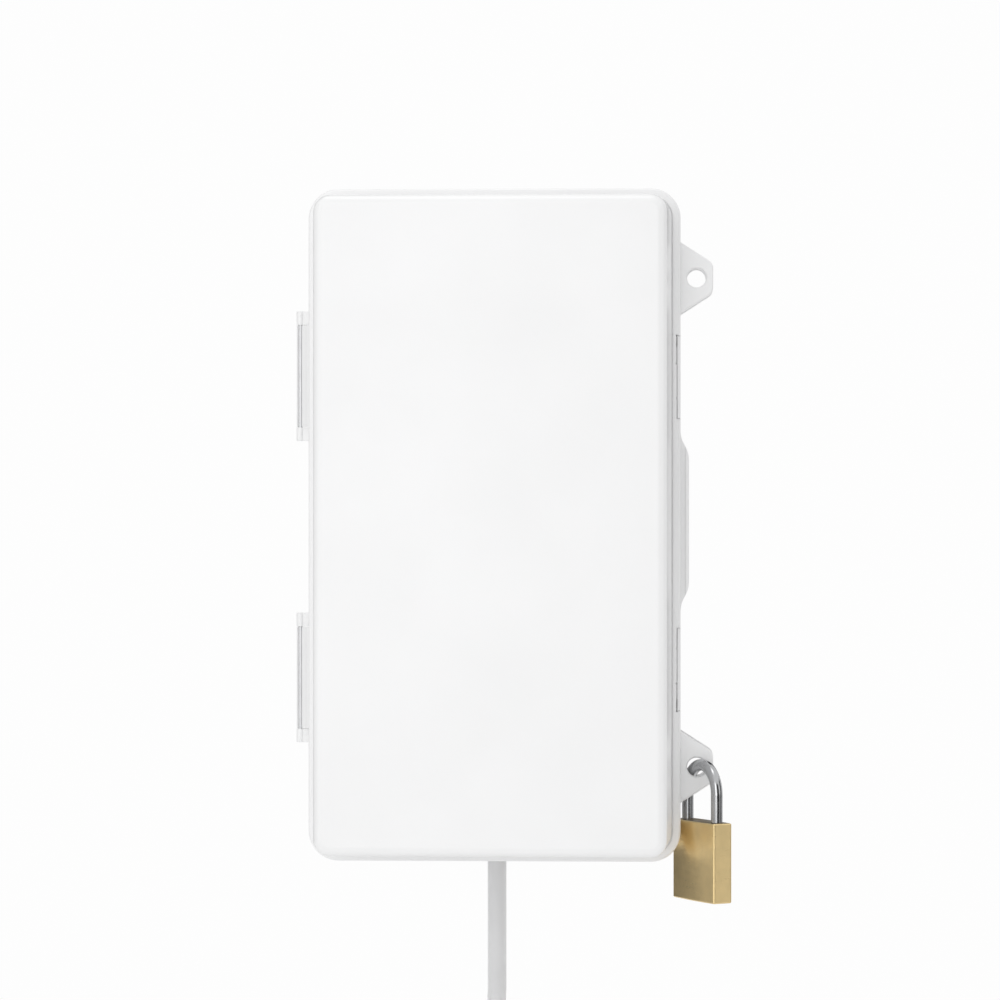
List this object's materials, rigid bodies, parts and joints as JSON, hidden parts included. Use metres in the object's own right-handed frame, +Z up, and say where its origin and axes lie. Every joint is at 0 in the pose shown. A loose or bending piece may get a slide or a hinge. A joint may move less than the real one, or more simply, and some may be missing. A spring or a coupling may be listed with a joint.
{
  "type": "weatherproof power strip box",
  "caption": "Tall wall-mounted weatherproof plastic box with a side-hinged lid, lock ears, a hanging padlock and a power strip inside.",
  "frame": {"origin": "centre of the wall screws' rectangle, on the wall plane at the box's back face", "axes": "+X to the right as seen from the front, +Y into the wall, +Z up; the lid faces -Y"},
  "size_m": [0.2179, 0.112, 0.6025],
  "materials": {
    "white_casing": "satin injection-moulded, weather resistant",
    "grey_seal": "soft, matt",
    "steel": "stainless, drawn",
    "gland_plastic": "fine grained nylon",
    "strip_plastic": "fine grained",
    "socket_plastic": "fine grained",
    "brass": "stamped strip",
    "plated_spring": "nickel plated spring strip",
    "switch_red": "glossy",
    "cord_sheath": "smooth, pale grey-white",
    "core_brown": "smooth",
    "core_blue": "smooth",
    "core_green": "smooth",
    "hardened_steel": "hardened, plated, lightly drawn",
    "lock_brass": "brushed solid brass",
    "plug_nickel": "nickel plated",
    "tie_fabric": "woven hook and loop strap",
    "plug_rubber": "moulded, matt",
    "plated_pin": "nickel plated brass"
  },
  "bodies": {
    "base": {"base_shell": "white_casing", "base_ear_upper": "white_casing", "base_ear_lower": "white_casing", "hinge_eyes": "white_casing", "floor_bosses": "white_casing", "base_back": "white_casing", "latch_eyes": "white_casing", "hinge_pin_upper": "steel", "hinge_pin_lower": "steel", "latch_pin_upper": "steel", "latch_pin_lower": "steel", "gland_bush": "gland_plastic", "gland_cap": "gland_plastic", "gland_locknut": "gland_plastic", "gland_sleeve": "grey_seal", "cable_clamp": "gland_plastic", "clamp_screws": "steel", "strip_tray": "strip_plastic", "strip_cover": "strip_plastic", "socket_cup_1": "socket_plastic", "socket_cup_2": "socket_plastic", "socket_cup_3": "socket_plastic", "socket_cup_4": "socket_plastic", "live_bar": "brass", "neutral_bar": "brass", "earth_bar": "brass", "earth_clips": "plated_spring", "switch_frame": "socket_plastic", "strip_grommet": "grey_seal", "strip_screws": "steel", "inner_cord": "cord_sheath", "live_core": "core_brown", "neutral_core": "core_blue", "earth_core": "core_green", "cord": "cord_sheath", "cord_coil": "cord_sheath", "coil_ties": "tie_fabric", "plug_body": "plug_rubber", "plug_pins": "plated_pin", "plug_earth_strips": "plated_spring"},
    "lid": {"lid_shell": "white_casing", "lid_ear_upper": "white_casing", "lid_ear_lower": "white_casing", "lid_seal": "grey_seal"},
    "upper_latch": {"latch_upper": "white_casing"},
    "lower_latch": {"latch_lower": "white_casing"},
    "rocker": {"switch_rocker": "switch_red"},
    "shackle": {"padlock_shackle": "hardened_steel"},
    "padlock": {"padlock_body": "lock_brass"},
    "lock_plug": {"padlock_plug": "plug_nickel"}
  },
  "joints": [
    {"name": "lid_hinge", "type": "hinge", "parent": "base", "child": "lid", "pos_m": [-0.098, -0.05, -0.001], "axis": [0, 0, -1], "range_deg": [0, 135]},
    {"name": "upper_latch_turn", "type": "hinge", "parent": "base", "child": "upper_latch", "pos_m": [0.0906, -0.046, 0.07365], "axis": [0, 0, 1], "range_deg": [0, 75]},
    {"name": "lower_latch_turn", "type": "hinge", "parent": "base", "child": "lower_latch", "pos_m": [0.0906, -0.046, -0.07195], "axis": [0, 0, 1], "range_deg": [0, 75]},
    {"name": "rocker_tilt", "type": "hinge", "parent": "base", "child": "rocker", "pos_m": [0, -0.0395, -0.09], "axis": [-1, 0, 0], "range_deg": [0, 16]},
    {"name": "padlock_swing", "type": "hinge", "parent": "lid", "child": "shackle", "pos_m": [0.101, -0.05325, -0.121], "axis": [0, -1, 0], "range_deg": [0, 80]},
    {"name": "padlock_release", "type": "slide", "parent": "shackle", "child": "padlock", "axis": [0, 0, -1], "range_m": [0, 0.009]},
    {"name": "padlock_plug_turn", "type": "hinge", "parent": "padlock", "child": "lock_plug", "pos_m": [0.10375, -0.05801, -0.187], "axis": [0, 0, 1], "range_deg": [0, 90]}
  ],
  "couplings": [
    {"joint": "padlock_plug_turn", "follows": "padlock_release", "rad_per_m": 174.5}
  ]
}
